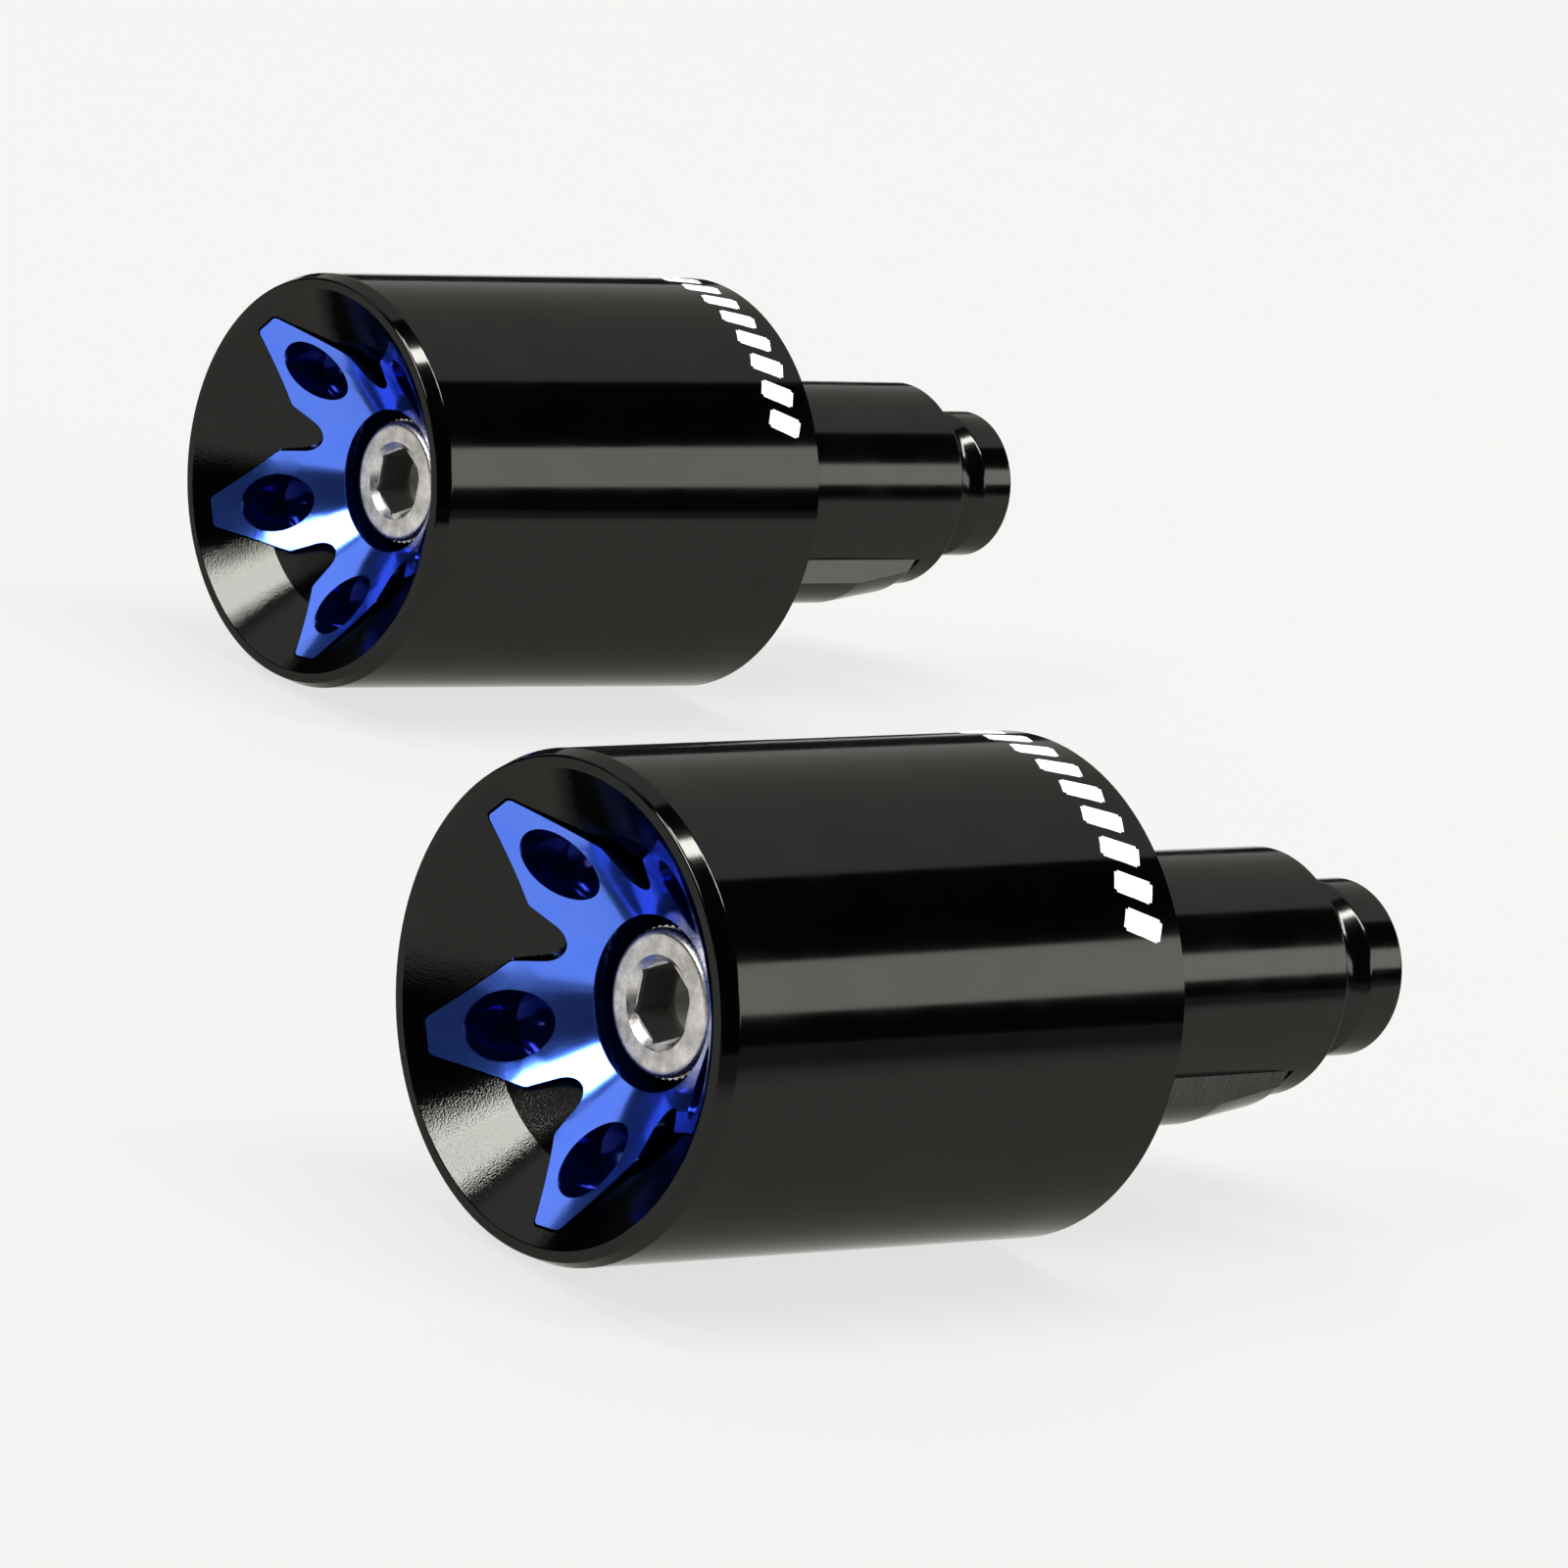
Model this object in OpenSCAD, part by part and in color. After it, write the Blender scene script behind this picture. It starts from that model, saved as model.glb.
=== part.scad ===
// Pair of handlebar-end weights for a 22 mm motorcycle bar, lying side by side on a floor.
// Each grip is drawn along its own axis: z is the depth behind the rim, and angles run
// about that axis. The pair is then laid along +X with the rims towards -X.

/* [Weight] */
// Diameter at the open front rim
front_d = 34; // [33.6:0.2:36]
// Diameter at the rear edge
rear_d = 34.8; // [34:0.2:37]
// Length from the rim to the rear face
weight_len = 40.8; // [38:0.2:46]
// Width of the rim between the recess and the outside
rim_wall = 1.2; // [1:0.1:1.4]
// Length of the bevel outside the rim
lip_len = 1.2; // [0.8:0.1:1.5]
// Radius at which the recess turns from the outer to the inner cone
seat_r = 11.4; // [11:0.1:12]
// Chamfer of the rear edge
rear_chamfer = 0.4; // [0.2:0.1:0.8]

/* [Star] */
// Number of arms
arms = 5; // [4:1:6]
// Direction of the first arm, in degrees from +Y towards +Z
star_turn = 45; // [0:5:355]
// Distance from the axis to the flat tip of an arm
tip_r = 14.6; // [14:0.1:14.8]
// Width of an arm's flat tip
tip_w = 2.4; // [1.6:0.2:3]
// Depth of an arm's tip behind the rim
tip_z = 1; // [0.9:0.1:1.2]
// Depth at which the face meets the counterbore
mouth_z = 8.3; // [7.9:0.1:8.5]
// Height of the face above the recess, at the turn between the two cones
proud = 0.35; // [0.2:0.05:0.6]
// Depth of the pocket that the star lies in, below the cones
inlay = 0.7; // [0.5:0.1:1]
// Gap round the star in its pocket
gap = 0.18; // [0.1:0.02:0.24]
// Radius of the rounded notch between two arms
notch_r = 1.5; // [1.2:0.1:1.6]
// Distance from the axis to the bottom of a notch
notch_floor_r = 7.65; // [7.6:0.05:7.8]
// Diameter of the dimple in each arm
dimple_d = 4.8; // [4:0.1:4.8]
// Distance from the axis to a dimple's centre
dimple_at = 10.3; // [10.2:0.05:10.5]
// Depth of a dimple below the middle of its mouth
dimple_depth = 2.6; // [1.5:0.1:2.8]

/* [Screw and washers] */
// Thread diameter of the cap screw
screw_d = 6; // [5:1:6]
// Length of the screw under its head
screw_len = 55; // [53:1:56]
// Depth of the top of the head behind the rim
head_z = 8.9; // [8.6:0.1:9.4]
// Size of the hexagon socket, across its flats
hex_af = 5; // [4:0.5:5]
// Direction of one corner of the hexagon, in degrees from +Y towards +Z
hex_turn = 30; // [0:1:59]
// Thickness of the flat washer and of the spring washer
washer_t = 1.6; // [1:0.2:1.6]

/* [Spigot] */
// Diameter of the part that goes into the handlebar
spigot_d = 17.6; // [17.4:0.2:18]
// Length of the spigot behind the weight
spigot_len = 24.2; // [24.2:0.2:26]
// Diameter of the bore that guides the cone nut
guide_d = 12.8; // [12.6:0.1:13]

/* [Clamp] */
// Direction in which the shoe presses, in degrees from +Y towards +Z
shoe_turn = 251; // [180:1:359]
// Width of the shoe
shoe_w = 10.9; // [9:0.1:11]
// How far the shoe stands out of the spigot when the clamp is tight
shoe_out = 1.6; // [0.8:0.1:1.6]
// Rise of the cone for each millimetre of its length
cone_rise = 0.3; // [0.3:0.01:0.34]
// How far the nut travels along the screw when the clamp is loosened
nut_travel = 5.5; // [3:0.5:5.5]
// Length of the nut's end collar
collar_len = 3.7; // [2.5:0.1:4.5]
// Width of the groove between the spigot and the collar
groove_len = 4.3; // [3.8:0.1:5]
// Depth of that groove
groove_depth = 0.6; // [0.4:0.05:0.8]

/* [Layout on the floor] */
// Distance between the two axes
spacing = 120; // [45:1:160]
// How far the second grip is set back along its axis
stagger = 70; // [0:1:120]

/* [Hidden] */
PIECES = ["weight", "star", "screw", "spring_washer", "washer", "spigot",
          "shoe", "nut", "nut_ring", "bar_washer"];
$fn = 96;

// Working gaps
seat_gap = 0.02;   // two seated faces of one body
slide_gap = 0.07;  // a shaft that slides or turns in its guide
shoe_gap = 0.08;   // the shoe on the cone
bolt_gap = 0.3;    // the screw through a plain hole

// Weight
front_r = front_d / 2;
rear_r = rear_d / 2;
rest_r = max(front_r, rear_r);
rim_in_r = front_r - rim_wall;
rim_edge = 0.2;    // rounding of the rim's inner edge
lip_w = 0.45;      // width of the bevel outside the rim

// Star: its face is one cone, and its back follows the two cones of the recess, of which
// the inner one is a little steeper than the face
bore_r = 5.9;
hub_r = 6.9;
face_rise = (mouth_z - tip_z) / (tip_r - bore_r);
function face_z(r) = tip_z + (tip_r - r) * face_rise;
seat_z = face_z(seat_r) + proud;
inner_rise = 1.1;
function inner_cone_z(r) = seat_z + (seat_r - r) * inner_rise;
function outer_cone_z(r) = seat_z * (rim_in_r - r) / (rim_in_r - seat_r);
pitch = 360 / arms;
shoulder_r = 10.3;
shoulder_off = 11.8;   // angle from the middle of a notch to a shoulder
boss_r = dimple_d / 2 + 0.6;
dimple_z = face_z(dimple_at) + dimple_depth;
drill_cone = 0.6;
boss_z = dimple_z + drill_cone + 0.6;

// Screw and washers
screw_r = screw_d / 2;
hole_r = screw_r + bolt_gap;
head_r = 0.5 + 1.5 * screw_r;
head_h = screw_d;
under_head_z = head_z + head_h;
flat_z = under_head_z + washer_t;
bore_floor_z = flat_z + washer_t;
hub_z = bore_floor_z + 2.4;
socket_depth = 3.4;

// Spigot
spigot_r = spigot_d / 2;
guide_r = guide_d / 2;
plug_r = 7;
plug_z = hub_z + 5.5;
end_z = weight_len + spigot_len;
guide_z = weight_len + 0.4;

// Shoe and cone nut
window_z = weight_len + 1.4;
window_end = end_z - 2.4;
shoe_r = spigot_r + shoe_out;
nut_r = guide_r - slide_gap;
nut_hole_r = screw_r + 0.05;
nose_r = nut_hole_r + 0.85;
nut_z = window_z + 4.8;
cone_end_z = nut_z + (nut_r - nose_r) / cone_rise;
collar_z = end_z + groove_len;
nut_end_z = collar_z + collar_len;
shoe_clear_r = screw_r + shoe_out + 0.4;
key_w = 2;
key_r = nut_r + 0.8;

// Rubber ring of the nut, in the stretch of bore behind the window
ring_groove = 1;
ring_w = 1.4;
ring_z = end_z - 0.5 - ring_w;

// Washer between the weight and the bar
bar_washer_in = shoe_r + 0.15;
bar_washer_out = 12.9;
bar_washer_t = 1;
bar_washer_proud = 0.2;

// The arc of n steps that rounds the corner q between p and s
function unit(v) = v / norm(v);
function corner(p, q, s, r, n = 6) = r == 0 ? [q] :
    let (a = unit(p - q), b = unit(s - q), half = acos(a * b) / 2)
    let (c = q + unit(a + b) * r / sin(half), reach = r / tan(half))
    let (from = q + a * reach - c, to = q + b * reach - c)
    let (start = atan2(from.y, from.x), turn = atan2(cross(from, to), from * to))
    [for (i = [0 : n]) c + r * [cos(start + turn * i / n), sin(start + turn * i / n)]];

// An outline from [x, y, rounding] corners
function rounded(v) =
    let (m = len(v), q = [for (p = v) [p.x, p.y]])
    [for (i = [0 : m - 1]) each corner(q[(i + m - 1) % m], q[i], q[(i + 1) % m], v[i][2])];

function arc(c, r, a, b, n = 12) =
    [for (i = [0 : n]) c + r * [cos(a + (b - a) * i / n), sin(a + (b - a) * i / n)]];

function turned(v, a) =
    [for (p = v) [p.x * cos(a) - p.y * sin(a), p.x * sin(a) + p.y * cos(a)]];

// A closed outline moved outwards by d; its points run anticlockwise
function grown(v, d) =
    let (m = len(v))
    [for (i = [0 : m - 1])
        let (a = unit(v[i] - v[(i + m - 1) % m]), b = unit(v[(i + 1) % m] - v[i]))
        v[i] + d * [a.y + b.y, -a.x - b.x] / (1 + a * b)];

// A solid of revolution from [r, z, rounding] corners
module turned_solid(profile) {
    rotate_extrude()
        polygon(rounded(profile));
}

module pipe(out_r, in_r, z, h) {
    translate([0, 0, z])
        difference() {
            cylinder(r = out_r, h = h);
            translate([0, 0, -1])
                cylinder(r = in_r, h = h + 2);
        }
}

module on_arms() {
    for (k = [0 : arms - 1])
        rotate(star_turn + k * pitch)
            translate([dimple_at, 0, 0])
                children();
}

// Outline of the star along its axis, arm by arm
function star_outline() =
    let (notch_at = notch_floor_r + notch_r)
    let (off = [shoulder_r * cos(shoulder_off) - notch_at, shoulder_r * sin(shoulder_off)])
    let (touch = atan2(off.y, off.x) + acos(notch_r / norm(off)))
    let (side = [shoulder_r * cos(shoulder_off), -shoulder_r * sin(shoulder_off)])
    let (below = [notch_at + notch_r * cos(touch), -notch_r * sin(touch)], half_w = tip_w / 2)
    let (tip = turned([[tip_r, half_w]], -pitch / 2)[0])
    let (low = corner(tip, side, below, 0.6))
    let (mirror_low = [for (i = [len(low) - 1 : -1 : 0]) [low[i].x, -low[i].y]])
    let (low_tip = corner(turned([[tip_r, -half_w]], -pitch / 2)[0], tip, side, 0.55))
    let (high_tip = [for (i = [len(low_tip) - 1 : -1 : 0]) [low_tip[i].x, -low_tip[i].y]])
    let (notch = arc([notch_at, 0], notch_r, 360 - touch, touch))
    [for (k = [0 : arms - 1])
        each turned(concat(low_tip, low, notch, mirror_low, high_tip), (k + 0.5) * pitch)];

// The space inside the recess down to a depth below its two cones
module recess_space(depth, reach_r) {
    turned_solid([
        [0, -1, 0],
        [reach_r, -1, 0],
        [reach_r, outer_cone_z(reach_r) + depth, 0],
        [seat_r, seat_z + depth, 0],
        [hub_r, inner_cone_z(hub_r) + depth, 0],
        [0, inner_cone_z(hub_r) + depth, 0]
    ]);
}

module weight() {
    groove_in = bar_washer_in - 0.1;
    groove_out = bar_washer_out + 0.1;
    groove_z = weight_len + bar_washer_proud - bar_washer_t;
    color("#131417")
        difference() {
            turned_solid([
                [rim_in_r, 0, rim_edge],
                [front_r - lip_w, 0, 0.25],
                [front_r, lip_len, 0.5],
                [rear_r, weight_len - rear_chamfer, 0],
                [rear_r - rear_chamfer, weight_len, 0],
                [groove_out, weight_len, 0],
                [groove_out, groove_z, 0],
                [groove_in, groove_z, 0],
                [groove_in, weight_len, 0],
                [plug_r, weight_len, 0],
                [plug_r, plug_z, 0],
                [hole_r, plug_z, 0],
                [hole_r, hub_z + seat_gap, 0],
                [hub_r + 0.05, hub_z + seat_gap, 0],
                [hub_r + 0.05, inner_cone_z(hub_r + 0.05), 0],
                [seat_r, seat_z, 0]
            ]);
            intersection() {
                recess_space(inlay, tip_r + 0.8);
                rotate(star_turn)
                    linear_extrude(height = hub_z)
                        polygon(grown(star_outline(), gap));
            }
            on_arms()
                translate([0, 0, 1])
                    cylinder(r = boss_r + 0.05, h = boss_z + seat_gap - 1);
        }
}

module star() {
    reach_r = tip_r + 0.8;
    color("#4d7cf6")
        difference() {
            intersection() {
                turned_solid([
                    [reach_r, face_z(reach_r), 0],
                    [bore_r, mouth_z, 0],
                    [bore_r, bore_floor_z, 0],
                    [hole_r, bore_floor_z, 0],
                    [hole_r, hub_z, 0],
                    [reach_r, hub_z, 0]
                ]);
                union() {
                    intersection() {
                        recess_space(inlay - seat_gap, reach_r);
                        rotate(star_turn)
                            linear_extrude(height = hub_z)
                                polygon(star_outline());
                    }
                    cylinder(r = hub_r, h = hub_z);
                    on_arms()
                        cylinder(r = boss_r, h = boss_z);
                }
            }
            on_arms() {
                cylinder(d = dimple_d, h = dimple_z);
                translate([0, 0, dimple_z])
                    cylinder(d1 = dimple_d, d2 = 0.4, h = drill_cone);
            }
        }
}

module screw() {
    mouth_r = hex_af / sqrt(3) + 0.35;
    color("#c9c7c2")
        difference() {
            turned_solid([
                [0, head_z, 0],
                [head_r, head_z, 0.6],
                [head_r, under_head_z, 0.15],
                [screw_r, under_head_z, 0],
                [screw_r, under_head_z + screw_len - 0.6, 0],
                [screw_r - 0.6, under_head_z + screw_len, 0],
                [0, under_head_z + screw_len, 0]
            ]);
            rotate(hex_turn)
                translate([0, 0, head_z - 1])
                    cylinder(d = hex_af * 2 / sqrt(3), h = socket_depth + 1, $fn = 6);
            translate([0, 0, head_z - 0.01])
                cylinder(r1 = mouth_r, r2 = mouth_r - 0.5, h = 0.5);
            translate([0, 0, head_z + socket_depth - 0.01])
                cylinder(r1 = hex_af / 2 - 0.2, r2 = 0.3, h = 1);
        }
}

module spring_washer() {
    color("#b9b8b4")
        difference() {
            pipe(head_r - 0.05, screw_r + 0.2, under_head_z + seat_gap, washer_t - 2 * seat_gap);
            rotate(40)
                translate([0, -0.4, under_head_z - 1])
                    cube([head_r + 1, 0.8, washer_t + 2]);
        }
}

module washer() {
    color("#b9b8b4")
        pipe(bore_r - 0.4, screw_r + 0.2, flat_z, washer_t - seat_gap);
}

module spigot() {
    window_w = shoe_w + 0.1;
    color("#17181a")
        difference() {
            turned_solid([
                [hole_r, plug_z + seat_gap, 0],
                [plug_r, plug_z + seat_gap, 0.6],
                [plug_r, weight_len + seat_gap, 0],
                [spigot_r, weight_len + seat_gap, 0],
                [spigot_r, end_z, 0.3],
                [guide_r, end_z, 0],
                [guide_r, guide_z, 0],
                [hole_r, guide_z, 0]
            ]);
            rotate(shoe_turn)
                translate([0, -window_w / 2, window_z])
                    cube([spigot_r + 1, window_w, window_end - window_z]);
            rotate(shoe_turn + 180)
                translate([0, -key_w / 2 - 0.1, cone_end_z])
                    cube([key_r + 0.2, key_w + 0.2, end_z - cone_end_z + 1]);
        }
}

// A wedge that follows the nut's cone inside and a larger circle outside
module shoe() {
    z0 = window_z + 0.1;
    z1 = window_end - 0.2;
    toe_z = guide_z + 0.1;
    toe_r = guide_r - 0.1;
    ramp_z = nut_z + (shoe_clear_r - nose_r - shoe_gap) / cone_rise;
    ramp_end_z = cone_end_z + nut_travel;
    ramp_end_r = nut_r + shoe_gap + nut_travel * cone_rise;
    taper = 0.8;
    end_r = ramp_end_r + 0.45;
    color("#17181a")
        intersection() {
            turned_solid([
                [shoe_clear_r, toe_z, 0],
                [toe_r, toe_z, 0],
                [toe_r, z0, 0],
                [shoe_r, z0, 0.3],
                [shoe_r, z1 - 7, 3],
                [shoe_r - taper, z1 - 1.2, 0.4],
                [end_r, z1, 0.2],
                [ramp_end_r, z1, 0],
                [ramp_end_r, ramp_end_z, 0],
                [shoe_clear_r, ramp_z, 0]
            ]);
            rotate(shoe_turn)
                translate([0, -shoe_w / 2, toe_z - 1])
                    cube([shoe_r + 1, shoe_w, z1 - toe_z + 2]);
        }
}

module nut() {
    color("#1b1c1e")
        union() {
            turned_solid([
                [nut_hole_r, nut_z, 0],
                [nose_r, nut_z, 0],
                [nut_r, cone_end_z, 0],
                [nut_r, ring_z, 0],
                [nut_r - ring_groove, ring_z, 0],
                [nut_r - ring_groove, ring_z + ring_w, 0],
                [nut_r, ring_z + ring_w, 0],
                [nut_r, end_z, 0],
                [nut_r - groove_depth, end_z + 0.8, 1.2],
                [nut_r - groove_depth, collar_z - 1, 1.5],
                [nut_r, collar_z + 0.4, 0.8],
                [nut_r, nut_end_z, 0.3],
                [nut_hole_r + 0.4, nut_end_z, 0],
                [nut_hole_r, nut_end_z - 0.4, 0]
            ]);
            rotate(shoe_turn + 180)
                translate([nut_r - 1, -key_w / 2, cone_end_z + 0.6])
                    cube([key_r - nut_r + 1, key_w, ring_z - cone_end_z - 1.2]);
        }
}

module nut_ring() {
    color("#0d0d0d")
        pipe(nut_r + 0.02, nut_r - ring_groove + seat_gap, ring_z + 0.1, ring_w - 0.2);
}

module bar_washer() {
    color("#222222")
        pipe(bar_washer_out, bar_washer_in, weight_len + bar_washer_proud - bar_washer_t + seat_gap,
             bar_washer_t - seat_gap);
}

// Lays a grip along +X and stands the pair's floor box on the origin
module laid(side) {
    sign = side == "a" ? -1 : 1;
    translate([(sign * stagger - nut_end_z) / 2, sign * spacing / 2, rest_r])
        rotate([90, 0, 90])
            children();
}

for (side = ["a", "b"]) {
    laid(side) weight();
    laid(side) star();
    laid(side) screw();
    laid(side) spring_washer();
    laid(side) washer();
    laid(side) spigot();
    laid(side) shoe();
    laid(side) nut();
    laid(side) nut_ring();
    laid(side) bar_washer();
}
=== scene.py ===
import math

import bpy
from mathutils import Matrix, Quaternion, Vector


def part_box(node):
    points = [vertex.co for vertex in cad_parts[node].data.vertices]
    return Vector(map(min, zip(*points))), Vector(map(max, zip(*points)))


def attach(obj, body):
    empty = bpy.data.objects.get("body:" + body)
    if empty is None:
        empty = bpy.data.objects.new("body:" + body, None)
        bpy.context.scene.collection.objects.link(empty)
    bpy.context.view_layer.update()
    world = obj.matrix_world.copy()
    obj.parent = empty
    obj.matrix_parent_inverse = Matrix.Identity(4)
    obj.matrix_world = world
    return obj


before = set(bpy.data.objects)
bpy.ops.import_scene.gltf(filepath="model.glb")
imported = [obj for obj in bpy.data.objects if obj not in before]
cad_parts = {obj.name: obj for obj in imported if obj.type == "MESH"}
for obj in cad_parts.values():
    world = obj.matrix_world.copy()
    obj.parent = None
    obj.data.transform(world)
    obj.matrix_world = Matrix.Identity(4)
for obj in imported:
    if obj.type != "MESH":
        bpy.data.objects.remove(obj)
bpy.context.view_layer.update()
print("frame loaded:", len(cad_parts), "nodes")

mm = 0.001
sides = ("a", "b")
noiseLow, noiseHigh = 0.3, 0.7  # where most of a noise pattern's values lie
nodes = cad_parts


def rimCentre(side):  # where a grip's axis meets its rim
    low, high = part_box("weight_" + side)
    return Vector((low.x, (low.y + high.y) / 2, (low.z + high.z) / 2))


def linear(hexColour):  # sRGB hex to the linear colour that a socket wants
    parts = [int(hexColour[i:i + 2], 16) / 255 for i in (1, 3, 5)]
    return [p / 12.92 if p <= 0.04045 else ((p + 0.055) / 1.055) ** 2.4 for p in parts] + [1]


def addNode(tree, kind, settings=None, **inputs):
    node = tree.nodes.new(kind)
    for name, value in (settings or {}).items():
        setattr(node, name, value)
    for name, value in inputs.items():
        socket = node.inputs[int(name[1:])] if name[1:].isdigit() else node.inputs[name.replace("_", " ")]
        if isinstance(value, bpy.types.NodeSocket):
            tree.links.new(value, socket)
        else:
            socket.default_value = value
    return node


def newMaterial(name):
    material = bpy.data.materials.new(name)
    material.use_nodes = True
    tree = material.node_tree
    tree.nodes.clear()
    return material, tree


def finishMaterial(tree, shader):
    out = tree.nodes.new("ShaderNodeOutputMaterial")
    tree.links.new(shader.outputs[0], out.inputs["Surface"])


# distances round a grip's own axis: along it, out from it, and round it
def turnedPlaces(tree, side):
    centre = rimCentre(side)
    coords = addNode(tree, "ShaderNodeTexCoord")
    centred = addNode(tree, "ShaderNodeMapping", Vector=coords.outputs["Object"], Location=-centre)
    split = addNode(tree, "ShaderNodeSeparateXYZ", Vector=centred.outputs[0])
    flat = addNode(tree, "ShaderNodeCombineXYZ", Y=split.outputs["Y"], Z=split.outputs["Z"])
    out = addNode(tree, "ShaderNodeVectorMath", {"operation": "LENGTH"}, _0=flat.outputs[0])
    angle = addNode(tree, "ShaderNodeMath", {"operation": "ARCTAN2"},
                    _0=split.outputs["Z"], _1=split.outputs["Y"])
    return split.outputs["X"], out.outputs["Value"], angle.outputs[0], centred.outputs[0]


coneShare = 0.7  # how much of a step outwards on a cone counts as a step along the tool's path


# the spiral that a lathe tool leaves: it runs along the axis and out along faces and cones
def toolPath(tree, along, out):
    shrunk = addNode(tree, "ShaderNodeMath", {"operation": "MULTIPLY"}, _0=out, _1=coneShare)
    return addNode(tree, "ShaderNodeMath", {"operation": "ADD"}, _0=along, _1=shrunk.outputs[0]).outputs[0]


def turningMarks(tree, side, marks):
    along, out, angle, centred = turnedPlaces(tree, side)
    path = toolPath(tree, along, out)
    around = addNode(tree, "ShaderNodeMath", {"operation": "MULTIPLY"}, _0=angle, _1=marks["chatter"])
    place = addNode(tree, "ShaderNodeCombineXYZ", X=path, Y=around.outputs[0])
    feed = addNode(tree, "ShaderNodeTexNoise", {"noise_dimensions": "2D"}, Vector=place.outputs[0],
                   Scale=1 / marks["feed"], Detail=2.0, Roughness=0.6)
    blotch = addNode(tree, "ShaderNodeTexNoise", Vector=centred, Scale=1 / marks["blotch"],
                     Detail=3.0, Roughness=0.55)
    return feed.outputs["Fac"], blotch.outputs["Fac"], along, out, centred


def remap(tree, value, fromLow, fromHigh, toLow, toHigh):
    return addNode(tree, "ShaderNodeMapRange", Value=value, From_Min=fromLow, From_Max=fromHigh,
                   To_Min=toLow, To_Max=toHigh).outputs[0]


def mixColour(tree, amount, first, second):
    node = addNode(tree, "ShaderNodeMix", {"data_type": "RGBA"}, _0=amount, _6=first, _7=second)
    return node.outputs[2]


# black anodised aluminium, turned: a dyed oxide skin that mirrors like dark glass over faint lathe rings
blackAnodised = {
    "colour": "#2b2b29", "worn": "#31312f", "grazing": "#cfcfcd",
    "roughness": (0.07, 0.11),
    "marks": {"feed": 0.22 * mm, "chatter": 0.4 * mm, "blotch": 6 * mm},
    "depth": 0.0012 * mm, "recessRadius": 15.75 * mm, "recessDepth": 0.0055 * mm, "grain": 0.14 * mm,
}


def makeBlackAnodised(side):
    own = blackAnodised
    material, tree = newMaterial("blackAnodisedAluminium_" + side)
    feed, blotch, _, out, centred = turningMarks(tree, side, own["marks"])
    colour = mixColour(tree, blotch, linear(own["colour"]), linear(own["worn"]))
    rough = remap(tree, blotch, noiseLow, noiseHigh, *own["roughness"])
    outside = addNode(tree, "ShaderNodeBump", Height=feed, Strength=1.0, Distance=own["depth"])
    # the recess was cut with a coarser feed, and its skin is grained where the two patterns cross
    inside = addNode(tree, "ShaderNodeMath", {"operation": "LESS_THAN"}, _0=out, _1=own["recessRadius"])
    grain = addNode(tree, "ShaderNodeTexVoronoi", Vector=centred, Scale=1 / own["grain"])
    bump = addNode(tree, "ShaderNodeBump", Height=grain.outputs["Distance"], Strength=inside.outputs[0],
                   Distance=own["recessDepth"], Normal=outside.outputs[0])
    shader = addNode(tree, "ShaderNodeBsdfPrincipled", Base_Color=colour, Metallic=1.0,
                     Roughness=rough, Specular_Tint=linear(own["grazing"]), Normal=bump.outputs[0])
    finishMaterial(tree, shader)
    return material


# satin black anodised aluminium: blasted before dyeing, so it greys the light more widely
satinBlack = {
    "colour": "#2d2d2b", "worn": "#353533", "grazing": "#cfcfcd",
    "roughness": (0.1, 0.16),
    "marks": {"feed": 0.3 * mm, "chatter": 0.6 * mm, "blotch": 4 * mm},
    "depth": 0.002 * mm,
}


def makeSatinBlack(side):
    own = satinBlack
    material, tree = newMaterial("satinAnodisedAluminium_" + side)
    feed, blotch = turningMarks(tree, side, own["marks"])[:2]
    colour = mixColour(tree, blotch, linear(own["colour"]), linear(own["worn"]))
    rough = remap(tree, blotch, noiseLow, noiseHigh, *own["roughness"])
    bump = addNode(tree, "ShaderNodeBump", Height=feed, Strength=1.0, Distance=own["depth"])
    shader = addNode(tree, "ShaderNodeBsdfPrincipled", Base_Color=colour, Metallic=1.0,
                     Roughness=rough, Specular_Tint=linear(own["grazing"]), Normal=bump.outputs[0])
    finishMaterial(tree, shader)
    return material


# blue anodised aluminium: clear dye over bright metal, deep blue in shade and pale where light strikes
blueAnodised = {
    # wall is the darker blue painted into the milled walls and dimples, a painted shade
    "colour": "#5c88ff", "deep": "#4878ff", "wall": "#0a267c", "grazing": "#b8c8ff",
    "roughness": (0.11, 0.16), "metal": 0.92, "coat": 0.7, "coatRoughness": 0.08,
    "marks": {"feed": 0.25 * mm, "chatter": 0.5 * mm, "blotch": 3 * mm},
    "depth": 0.0025 * mm, "tipRadius": 14.6 * mm, "tipDepth": 1.0 * mm, "slope": 7.3 / 8.7,
    "paintedShadeFrom": 0.04 * mm, "paintedShadeTo": 0.22 * mm,
}


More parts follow.
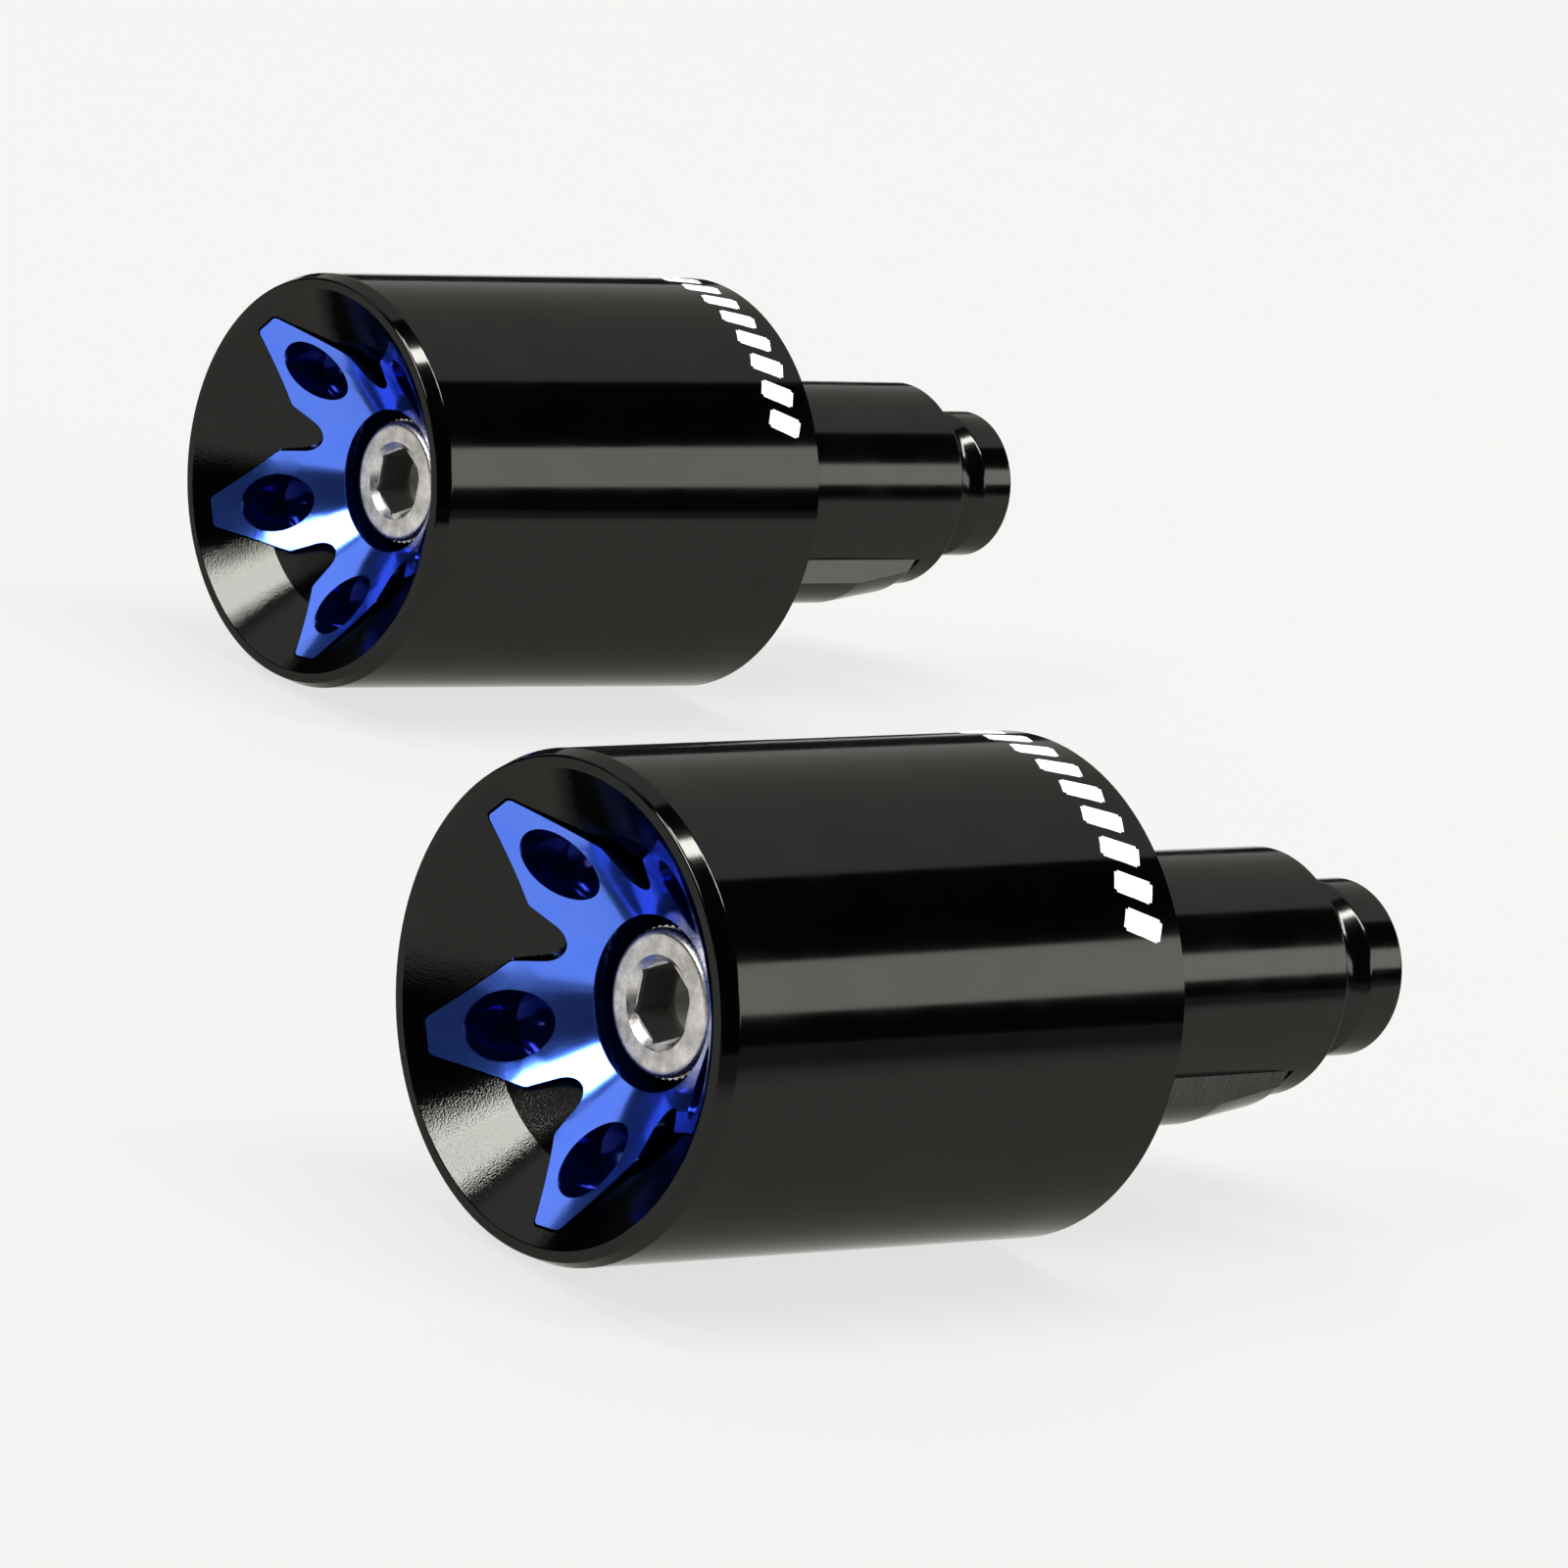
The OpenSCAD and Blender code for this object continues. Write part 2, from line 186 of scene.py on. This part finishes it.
def makeBlueAnodised(side):
    own = blueAnodised
    material, tree = newMaterial("blueAnodisedAluminium_" + side)
    feed, blotch, along, out = turningMarks(tree, side, own["marks"])[:4]
    face = mixColour(tree, blotch, linear(own["deep"]), linear(own["colour"]))
    # depth behind the star's conical face: the milled walls and dimples are painted a darker blue there, a
    # painted shade
    fall = addNode(tree, "ShaderNodeMath", {"operation": "MULTIPLY_ADD"}, _0=out, _1=own["slope"],
                   _2=-own["tipDepth"] - own["tipRadius"] * own["slope"])
    behind = addNode(tree, "ShaderNodeMath", {"operation": "ADD"}, _0=along, _1=fall.outputs[0])
    sunk = remap(tree, behind.outputs[0], own["paintedShadeFrom"], own["paintedShadeTo"], 0, 1)
    colour = mixColour(tree, sunk, face, linear(own["wall"]))
    rough = remap(tree, blotch, noiseLow, noiseHigh, *own["roughness"])
    bump = addNode(tree, "ShaderNodeBump", Height=feed, Strength=1.0, Distance=own["depth"])
    shader = addNode(tree, "ShaderNodeBsdfPrincipled", Base_Color=colour, Metallic=own["metal"],
                     Roughness=rough, Specular_Tint=linear(own["grazing"]), Normal=bump.outputs[0],
                     Coat_Weight=own["coat"], Coat_Roughness=own["coatRoughness"])
    finishMaterial(tree, shader)
    return material


# stainless steel, cold headed and tumbled: bright edges, a slightly pitted grey face
stainless = {
    # the third colour is a painted shade, laid in the socket and under the head
    "colour": "#e6e3de", "dull": "#b2afa9", "socketShade": "#7c7a75",
    "roughness": (0.2, 0.4), "socketRoughness": 0.3, "socketShadeRadius": 3.0 * mm, "socketShadeFrom": 9.3 * mm,
    "pits": 0.3 * mm, "blotch": 1.6 * mm, "depth": 0.009 * mm,
}


socketShadeEdge = {"across": 0.15 * mm, "along": 0.5 * mm}  # how softly the painted shade begins


def makeSteel(side, name, own):
    material, tree = newMaterial(name + "_" + side)
    along, out, _, centred = turnedPlaces(tree, side)
    pits = addNode(tree, "ShaderNodeTexNoise", Vector=centred, Scale=1 / own["pits"], Detail=4.0,
                   Roughness=0.7).outputs["Fac"]
    blotch = addNode(tree, "ShaderNodeTexNoise", Vector=centred, Scale=1 / own["blotch"], Detail=3.0,
                     Roughness=0.6).outputs["Fac"]
    face = mixColour(tree, remap(tree, blotch, 0.35, 0.65, 0, 1), linear(own["dull"]), linear(own["colour"]))
    # painted shade: inside a set radius round the axis and past a set depth along it, the socket and the
    # parts under the head are painted darker and made rougher
    inner = remap(tree, out, own["socketShadeRadius"], own["socketShadeRadius"] - socketShadeEdge["across"], 0, 1)
    deeper = remap(tree, along, own["socketShadeFrom"], own["socketShadeFrom"] + socketShadeEdge["along"], 0, 1)
    socketShade = addNode(tree, "ShaderNodeMath", {"operation": "MULTIPLY"}, _0=inner, _1=deeper)
    colour = mixColour(tree, socketShade.outputs[0], face, linear(own["socketShade"]))
    pitRoughness = remap(tree, pits, noiseLow, noiseHigh, *own["roughness"])
    rough = addNode(tree, "ShaderNodeMath", {"operation": "MULTIPLY_ADD"}, _0=socketShade.outputs[0],
                    _1=own["socketRoughness"], _2=pitRoughness).outputs[0]
    bump = addNode(tree, "ShaderNodeBump", Height=pits, Strength=1.0, Distance=own["depth"])
    shader = addNode(tree, "ShaderNodeBsdfPrincipled", Base_Color=colour, Metallic=1.0,
                     Roughness=rough, Normal=bump.outputs[0])
    finishMaterial(tree, shader)
    return material


zincSteel = {
    # the third colour is a painted shade, laid in the socket and under the head
    "colour": "#b8b8b4", "dull": "#86867f", "socketShade": "#55534e",
    "roughness": (0.25, 0.45), "socketRoughness": 0.2, "socketShadeRadius": 3.4 * mm, "socketShadeFrom": 14.0 * mm,
    "pits": 0.25 * mm, "blotch": 1.2 * mm, "depth": 0.004 * mm,
}


# nitrile rubber and nylon: soft sheen, no mirror
moulded = {
    "rubber": {"colour": "#1c1c1c", "worn": "#262626", "roughness": (0.5, 0.7), "grain": 0.2 * mm},
    "nylon": {"colour": "#232323", "worn": "#2e2e2e", "roughness": (0.4, 0.55), "grain": 0.4 * mm},
}
mouldedBump = {"strength": 0.6, "depth": 0.01 * mm}


def makeMoulded(side, name):
    own = moulded[name]
    material, tree = newMaterial(name + "_" + side)
    centred = turnedPlaces(tree, side)[3]
    grain = addNode(tree, "ShaderNodeTexNoise", Vector=centred, Scale=1 / own["grain"], Detail=3.0,
                    Roughness=0.6).outputs["Fac"]
    colour = mixColour(tree, grain, linear(own["colour"]), linear(own["worn"]))
    rough = remap(tree, grain, noiseLow, noiseHigh, *own["roughness"])
    bump = addNode(tree, "ShaderNodeBump", Height=grain, Strength=mouldedBump["strength"],
                   Distance=mouldedBump["depth"])
    shader = addNode(tree, "ShaderNodeBsdfPrincipled", Base_Color=colour, Roughness=rough,
                     Normal=bump.outputs[0])
    finishMaterial(tree, shader)
    return material


def dress(node, material):
    mesh = nodes[node].data
    mesh.materials.clear()
    mesh.materials.append(material)


for side in sides:
    black = makeBlackAnodised(side)
    satin = makeSatinBlack(side)
    steel = makeSteel(side, "stainlessSteel", stainless)
    zinc = makeSteel(side, "zincPlatedSteel", zincSteel)
    dress("weight_" + side, black)
    dress("star_" + side, makeBlueAnodised(side))
    dress("screw_" + side, steel)
    for name in ("spring_washer_", "washer_"):
        dress(name + side, zinc)
    for name in ("spigot_", "shoe_", "nut_"):
        dress(name + side, satin)
    dress("nut_ring_" + side, makeMoulded(side, "rubber"))
    dress("bar_washer_" + side, makeMoulded(side, "nylon"))
print("materials done")


# white enamel: a thin printed coat, slightly satin, that lifts a little at its edges; it also glows a
# little, a painted brightness though it is no lamp
def makeEnamel(side, own):
    material, tree = newMaterial("whiteEnamel_" + side)
    centred = turnedPlaces(tree, side)[3]
    speck = addNode(tree, "ShaderNodeTexNoise", Vector=centred, Scale=1 / own["speck"], Detail=3.0,
                    Roughness=0.6).outputs["Fac"]
    colour = mixColour(tree, speck, linear(own["thin"]), linear(own["colour"]))
    rough = remap(tree, speck, noiseLow, noiseHigh, *own["roughness"])
    bump = addNode(tree, "ShaderNodeBump", Height=speck, Strength=own["bump"], Distance=own["depth"])
    shader = addNode(tree, "ShaderNodeBsdfPrincipled", Base_Color=colour, Roughness=rough,
                     Normal=bump.outputs[0], Emission_Color=linear(own["colour"]),
                     Emission_Strength=own["glow"])
    finishMaterial(tree, shader)
    return material


# plain slanted bars round the rear of the body, where such a weight carries its print
printedBars = {
    "count": 10, "behindRim": 37.2 * mm, "long": 3.2 * mm, "wide": 1.7 * mm, "slant": -22,
    "from": 147, "to": 67, "thick": 0.03 * mm, "lift": 0.01 * mm,
    "colour": "#f4f4f2", "thin": "#dededc", "speck": 0.3 * mm, "roughness": (0.3, 0.45),
    # glow makes the print give out light of its own, a painted brightness
    "bump": 0.5, "depth": 0.004 * mm, "glow": 0.35, "standOff": 0.3 * mm,
}


def printBars(side):
    own = printedBars
    low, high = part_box("weight_" + side)
    centre = rimCentre(side)
    radius = (high.z - low.z) / 2
    bars = []
    for index in range(own["count"]):
        turn = math.radians(own["from"] + (own["to"] - own["from"]) * index / (own["count"] - 1))
        outward = Vector((0, math.cos(turn), math.sin(turn)))
        bpy.ops.object.select_all(action="DESELECT")
        bpy.ops.mesh.primitive_grid_add(x_subdivisions=14, y_subdivisions=10, size=1)
        bar = bpy.context.object
        bpy.ops.object.mode_set(mode="EDIT")
        bpy.ops.mesh.select_all(action="DESELECT")
        bpy.ops.object.mode_set(mode="OBJECT")
        for face in bar.data.polygons:  # the four corner faces go, which rounds the bar a little
            face.select = abs(face.center.x) > 0.45 and abs(face.center.y) > 0.4
        bpy.ops.object.mode_set(mode="EDIT")
        bpy.ops.mesh.delete(type="FACE")
        bpy.ops.mesh.select_all(action="SELECT")
        bpy.ops.transform.resize(value=(own["long"], own["wide"], 1), center_override=(0, 0, 0))
        bpy.ops.object.mode_set(mode="OBJECT")
        bar.rotation_mode = "QUATERNION"
        stand = Quaternion((1, 0, 0), turn - math.pi / 2)
        bar.rotation_quaternion = stand @ Quaternion((0, 0, 1), math.radians(own["slant"]))
        bar.location = centre + Vector((own["behindRim"], 0, 0)) + outward * (radius + own["standOff"])
        bpy.ops.object.transform_apply(location=True, rotation=True, scale=True)
        bars.append(bar)
    bpy.ops.object.select_all(action="DESELECT")
    for bar in bars:
        bar.select_set(True)
    bpy.context.view_layer.objects.active = bars[0]
    bpy.ops.object.join()
    piece = bpy.context.object
    piece.name = "printed_bars_" + side
    wrap = piece.modifiers.new("wrap", "SHRINKWRAP")
    wrap.target = nodes["weight_" + side]
    wrap.wrap_method = "NEAREST_SURFACEPOINT"
    wrap.wrap_mode = "ABOVE_SURFACE"
    wrap.offset = own["lift"]
    coat = piece.modifiers.new("coat", "SOLIDIFY")
    coat.thickness = own["thick"]
    coat.offset = 1
    for name in ("wrap", "coat"):
        bpy.ops.object.modifier_apply(modifier=name)
    piece.data.materials.append(makeEnamel(side, own))
    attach(piece, "pair")
    return piece


# knurl on the side of the screw's head: straight ridges that catch small lights
knurl = {"ridges": 48, "reach": 0.16 * mm, "from": 0.9 * mm, "to": 4.9 * mm, "wall": 0.3 * mm}


def knurlHead(side, steel):
    own = knurl
    low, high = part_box("screw_" + side)
    radius = (high.z - low.z) / 2
    centre = rimCentre(side)
    bpy.ops.object.select_all(action="DESELECT")
    bpy.ops.mesh.primitive_cylinder_add(vertices=own["ridges"] * 2, radius=radius + own["reach"],
                                        depth=own["to"] - own["from"], end_fill_type="NOTHING")
    ring = bpy.context.object
    ring.name = "head_knurl_" + side
    bpy.ops.object.mode_set(mode="EDIT")
    bpy.ops.mesh.select_all(action="DESELECT")
    bpy.ops.object.mode_set(mode="OBJECT")
    step = math.pi / own["ridges"]
    for vertex in ring.data.vertices:  # every second upright edge sinks into a valley
        vertex.select = round(math.atan2(vertex.co.y, vertex.co.x) / step) % 2 == 0
    bpy.ops.object.mode_set(mode="EDIT")
    sunk = (radius + 0.01 * mm) / (radius + own["reach"])
    bpy.ops.transform.resize(value=(sunk, sunk, 1), center_override=(0, 0, 0))
    bpy.ops.mesh.select_all(action="SELECT")
    bpy.ops.mesh.subdivide(number_cuts=1)
    bpy.ops.object.mode_set(mode="OBJECT")
    ring.rotation_mode = "QUATERNION"
    ring.rotation_quaternion = Quaternion((0, 1, 0), math.pi / 2)
    ring.location = (low.x + (own["from"] + own["to"]) / 2, centre.y, centre.z)
    bpy.ops.object.transform_apply(location=True, rotation=True, scale=True)
    wall = ring.modifiers.new("wall", "SOLIDIFY")
    wall.thickness = own["wall"]
    wall.offset = -1
    bpy.ops.object.modifier_apply(modifier="wall")
    bpy.ops.object.mode_set(mode="EDIT")
    bpy.ops.mesh.select_all(action="SELECT")
    bpy.ops.mesh.normals_make_consistent(inside=False)
    bpy.ops.object.mode_set(mode="OBJECT")
    ring.data.materials.append(steel)
    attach(ring, "screw_" + side)
    return ring


# thread in the mouth of the cone nut: a helical ridge in the nut's own satin black
mouthThread = {"radius": 3.05 * mm, "ridge": 0.28 * mm, "pitch": 1.0 * mm, "turns": 2, "fromEnd": 2.9 * mm}


def threadNut(side, satin):
    own = mouthThread
    low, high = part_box("nut_" + side)
    centre = rimCentre(side)
    bpy.ops.object.select_all(action="DESELECT")
    bpy.ops.mesh.primitive_circle_add(vertices=4, radius=own["ridge"], fill_type="NOTHING",
                                      rotation=(math.pi / 2, 0, 0))
    ridge = bpy.context.object
    ridge.name = "nut_thread_" + side
    ridge.location = (own["radius"], 0, 0)
    bpy.ops.object.transform_apply(location=True, rotation=True, scale=True)
    helix = ridge.modifiers.new("helix", "SCREW")
    helix.axis = "Z"
    helix.screw_offset = own["pitch"]
    helix.iterations = own["turns"]
    helix.steps = 48
    helix.render_steps = 48
    bpy.ops.object.modifier_apply(modifier="helix")
    bpy.ops.object.mode_set(mode="EDIT")
    bpy.ops.mesh.select_all(action="SELECT")
    bpy.ops.mesh.remove_doubles(threshold=0.001 * mm)
    bpy.ops.mesh.select_all(action="DESELECT")
    bpy.ops.mesh.select_non_manifold(extend=False)
    bpy.ops.mesh.edge_face_add()
    bpy.ops.mesh.select_all(action="SELECT")
    bpy.ops.mesh.normals_make_consistent(inside=False)
    bpy.ops.object.mode_set(mode="OBJECT")
    ridge.rotation_mode = "QUATERNION"
    ridge.rotation_quaternion = Quaternion((0, 1, 0), math.pi / 2)
    ridge.location = (high.x - own["fromEnd"], centre.y, centre.z)
    bpy.ops.object.transform_apply(location=True, rotation=True, scale=True)
    ridge.data.materials.append(satin)
    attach(ridge, "nut_" + side)
    return ridge


for side in sides:
    printBars(side)
    knurlHead(side, bpy.data.materials["stainlessSteel_" + side])
    threadNut(side, bpy.data.materials["satinAnodisedAluminium_" + side])
print("bars, knurl and thread done")


# camera: three quarter view from the open rims, with a long lens and a slight roll
shot = {
    "aim": Vector((-0.4, -1.6, 11.7)) * mm,
    "distance": 600.3 * mm,
    "azimuth": -43.27, "elevation": 14.5, "roll": 11.54,
    "lens": 180, "sensor": 36,
}
azimuth, elevation = math.radians(shot["azimuth"]), math.radians(shot["elevation"])
backward = Vector((math.sin(azimuth) * math.cos(elevation),
                   -math.cos(azimuth) * math.cos(elevation), math.sin(elevation)))
cameraData = bpy.data.cameras.new("camera")
cameraData.lens = shot["lens"]
cameraData.sensor_width = shot["sensor"]
cameraData.clip_start, cameraData.clip_end = 0.01, 20
camera = bpy.data.objects.new("camera", cameraData)
bpy.context.scene.collection.objects.link(camera)
camera.rotation_mode = "QUATERNION"
camera.location = shot["aim"] + backward * shot["distance"]
level = (-backward).to_track_quat("-Z", "Y")
camera.rotation_quaternion = level @ Quaternion((0, 0, 1), math.radians(shot["roll"]))
bpy.context.scene.camera = camera


# a softbox stands off in a direction from the pair, and its glow is the brightness that metal mirrors
def softbox(name, toward, distance, width, height, glow, spin=0.0):
    place = Vector(toward).normalized() * distance
    data = bpy.data.lights.new(name, "AREA")
    data.shape = "RECTANGLE"
    data.size, data.size_y = width, height
    data.energy = glow * math.pi * width * height
    lamp = bpy.data.objects.new(name, data)
    bpy.context.scene.collection.objects.link(lamp)
    lamp.rotation_mode = "QUATERNION"
    lamp.location = place
    lamp.rotation_quaternion = (-place).to_track_quat("-Z", "Y") @ Quaternion((0, 0, 1), math.radians(spin))
    return lamp


softbox("keyBox", (-0.68, 0.11, 0.74), 3.0, 1.2, 0.48, 22, -15)  # the bright patch low in the recess
softbox("edgeBox", (-0.785, -0.075, 0.615), 3.0, 0.42, 0.42, 16)  # the white band across the star
softbox("capBox", (-0.47, 0.08, 0.88), 3.0, 1.3, 0.75, 0.35)  # greys the inner cone
softbox("fillBox", (-0.42, 0.65, 0.62), 3.0, 1.6, 1.2, 0.9)
softbox("topStrip", (0.12, -0.16, 0.97), 3.0, 0.36, 3.0, 34, 10)  # the streak on the bevelled lip
softbox("sideStrip", (0.664, -0.671, 0.33), 3.0, 3.0, 0.86, 4.0)
softbox("skyBox", (0.5, 0.55, 0.67), 3.5, 6.0, 4.0, 0.9)

world = bpy.data.worlds.new("studio")
world.use_nodes = True
world.node_tree.nodes["Background"].inputs["Color"].default_value = linear("#ffffff")
world.node_tree.nodes["Background"].inputs["Strength"].default_value = 0.03
bpy.context.scene.world = world
bpy.context.scene.view_settings.view_transform = "Standard"

# floor: a pale sheet that is lit from within, as a light table is, so that shadows stay faint
floorLook = {"size": 12.0, "colour": "#4a4a49", "glow": "#fbfaf8", "strength": 0.77, "fibreScale": 60.0}
bpy.ops.object.select_all(action="DESELECT")
bpy.ops.mesh.primitive_plane_add(size=floorLook["size"])
floor = bpy.context.object
floor.name = "floor"
floorMaterial, tree = newMaterial("paleCard")
coords = addNode(tree, "ShaderNodeTexCoord")
fibre = addNode(tree, "ShaderNodeTexNoise", Vector=coords.outputs["Object"],
                Scale=floorLook["fibreScale"], Detail=3.0)
tone = remap(tree, fibre.outputs["Fac"], noiseLow, noiseHigh, 0.99, 1.0)
shade = addNode(tree, "ShaderNodeVectorMath", {"operation": "SCALE"}, _0=linear(floorLook["colour"])[:3],
                Scale=tone)
shader = addNode(tree, "ShaderNodeBsdfPrincipled", Base_Color=shade.outputs[0], Roughness=0.9,
                 Emission_Color=linear(floorLook["glow"]), Emission_Strength=floorLook["strength"])
finishMaterial(tree, shader)
floor.data.materials.append(floorMaterial)

# flag: a dark card flat on the table in front of the rims, which only reflections see; it puts the
# black band in the recess and leaves the floor pale from every side
flagCard = {"size": 5.0, "lift": 1 * mm, "front": Vector((-0.225, -0.974, 0)).normalized(),
            "fadeFrom": 127 * mm, "fadeTo": 190 * mm, "glow": "#ffffff", "strength": 0.25}
bpy.ops.object.select_all(action="DESELECT")
turn = math.atan2(flagCard["front"].y, flagCard["front"].x)
middle = flagCard["front"] * (flagCard["fadeFrom"] + flagCard["size"] / 2)
bpy.ops.mesh.primitive_plane_add(size=flagCard["size"], rotation=(0, 0, turn),
                                 location=middle + Vector((0, 0, flagCard["lift"])))
flag = bpy.context.object
flag.name = "flag"
bpy.ops.object.transform_apply(location=True, rotation=True, scale=True)
flagMaterial, tree = newMaterial("blackFlagCard")
coords = addNode(tree, "ShaderNodeTexCoord")
ahead = addNode(tree, "ShaderNodeVectorMath", {"operation": "DOT_PRODUCT"}, _0=coords.outputs["Object"],
                _1=flagCard["front"])
cover = remap(tree, ahead.outputs["Value"], flagCard["fadeFrom"], flagCard["fadeTo"], 0, 1)
thin = addNode(tree, "ShaderNodeBsdfTransparent")
dark = addNode(tree, "ShaderNodeEmission", Color=linear(flagCard["glow"]), Strength=flagCard["strength"])
shader = addNode(tree, "ShaderNodeMixShader", _0=cover, _1=thin.outputs[0], _2=dark.outputs[0])
finishMaterial(tree, shader)
flag.data.materials.append(flagMaterial)
flag.visible_camera = False
flag.visible_diffuse = False
flag.visible_transmission = False
flag.visible_shadow = False
print("floor, lights and camera done")
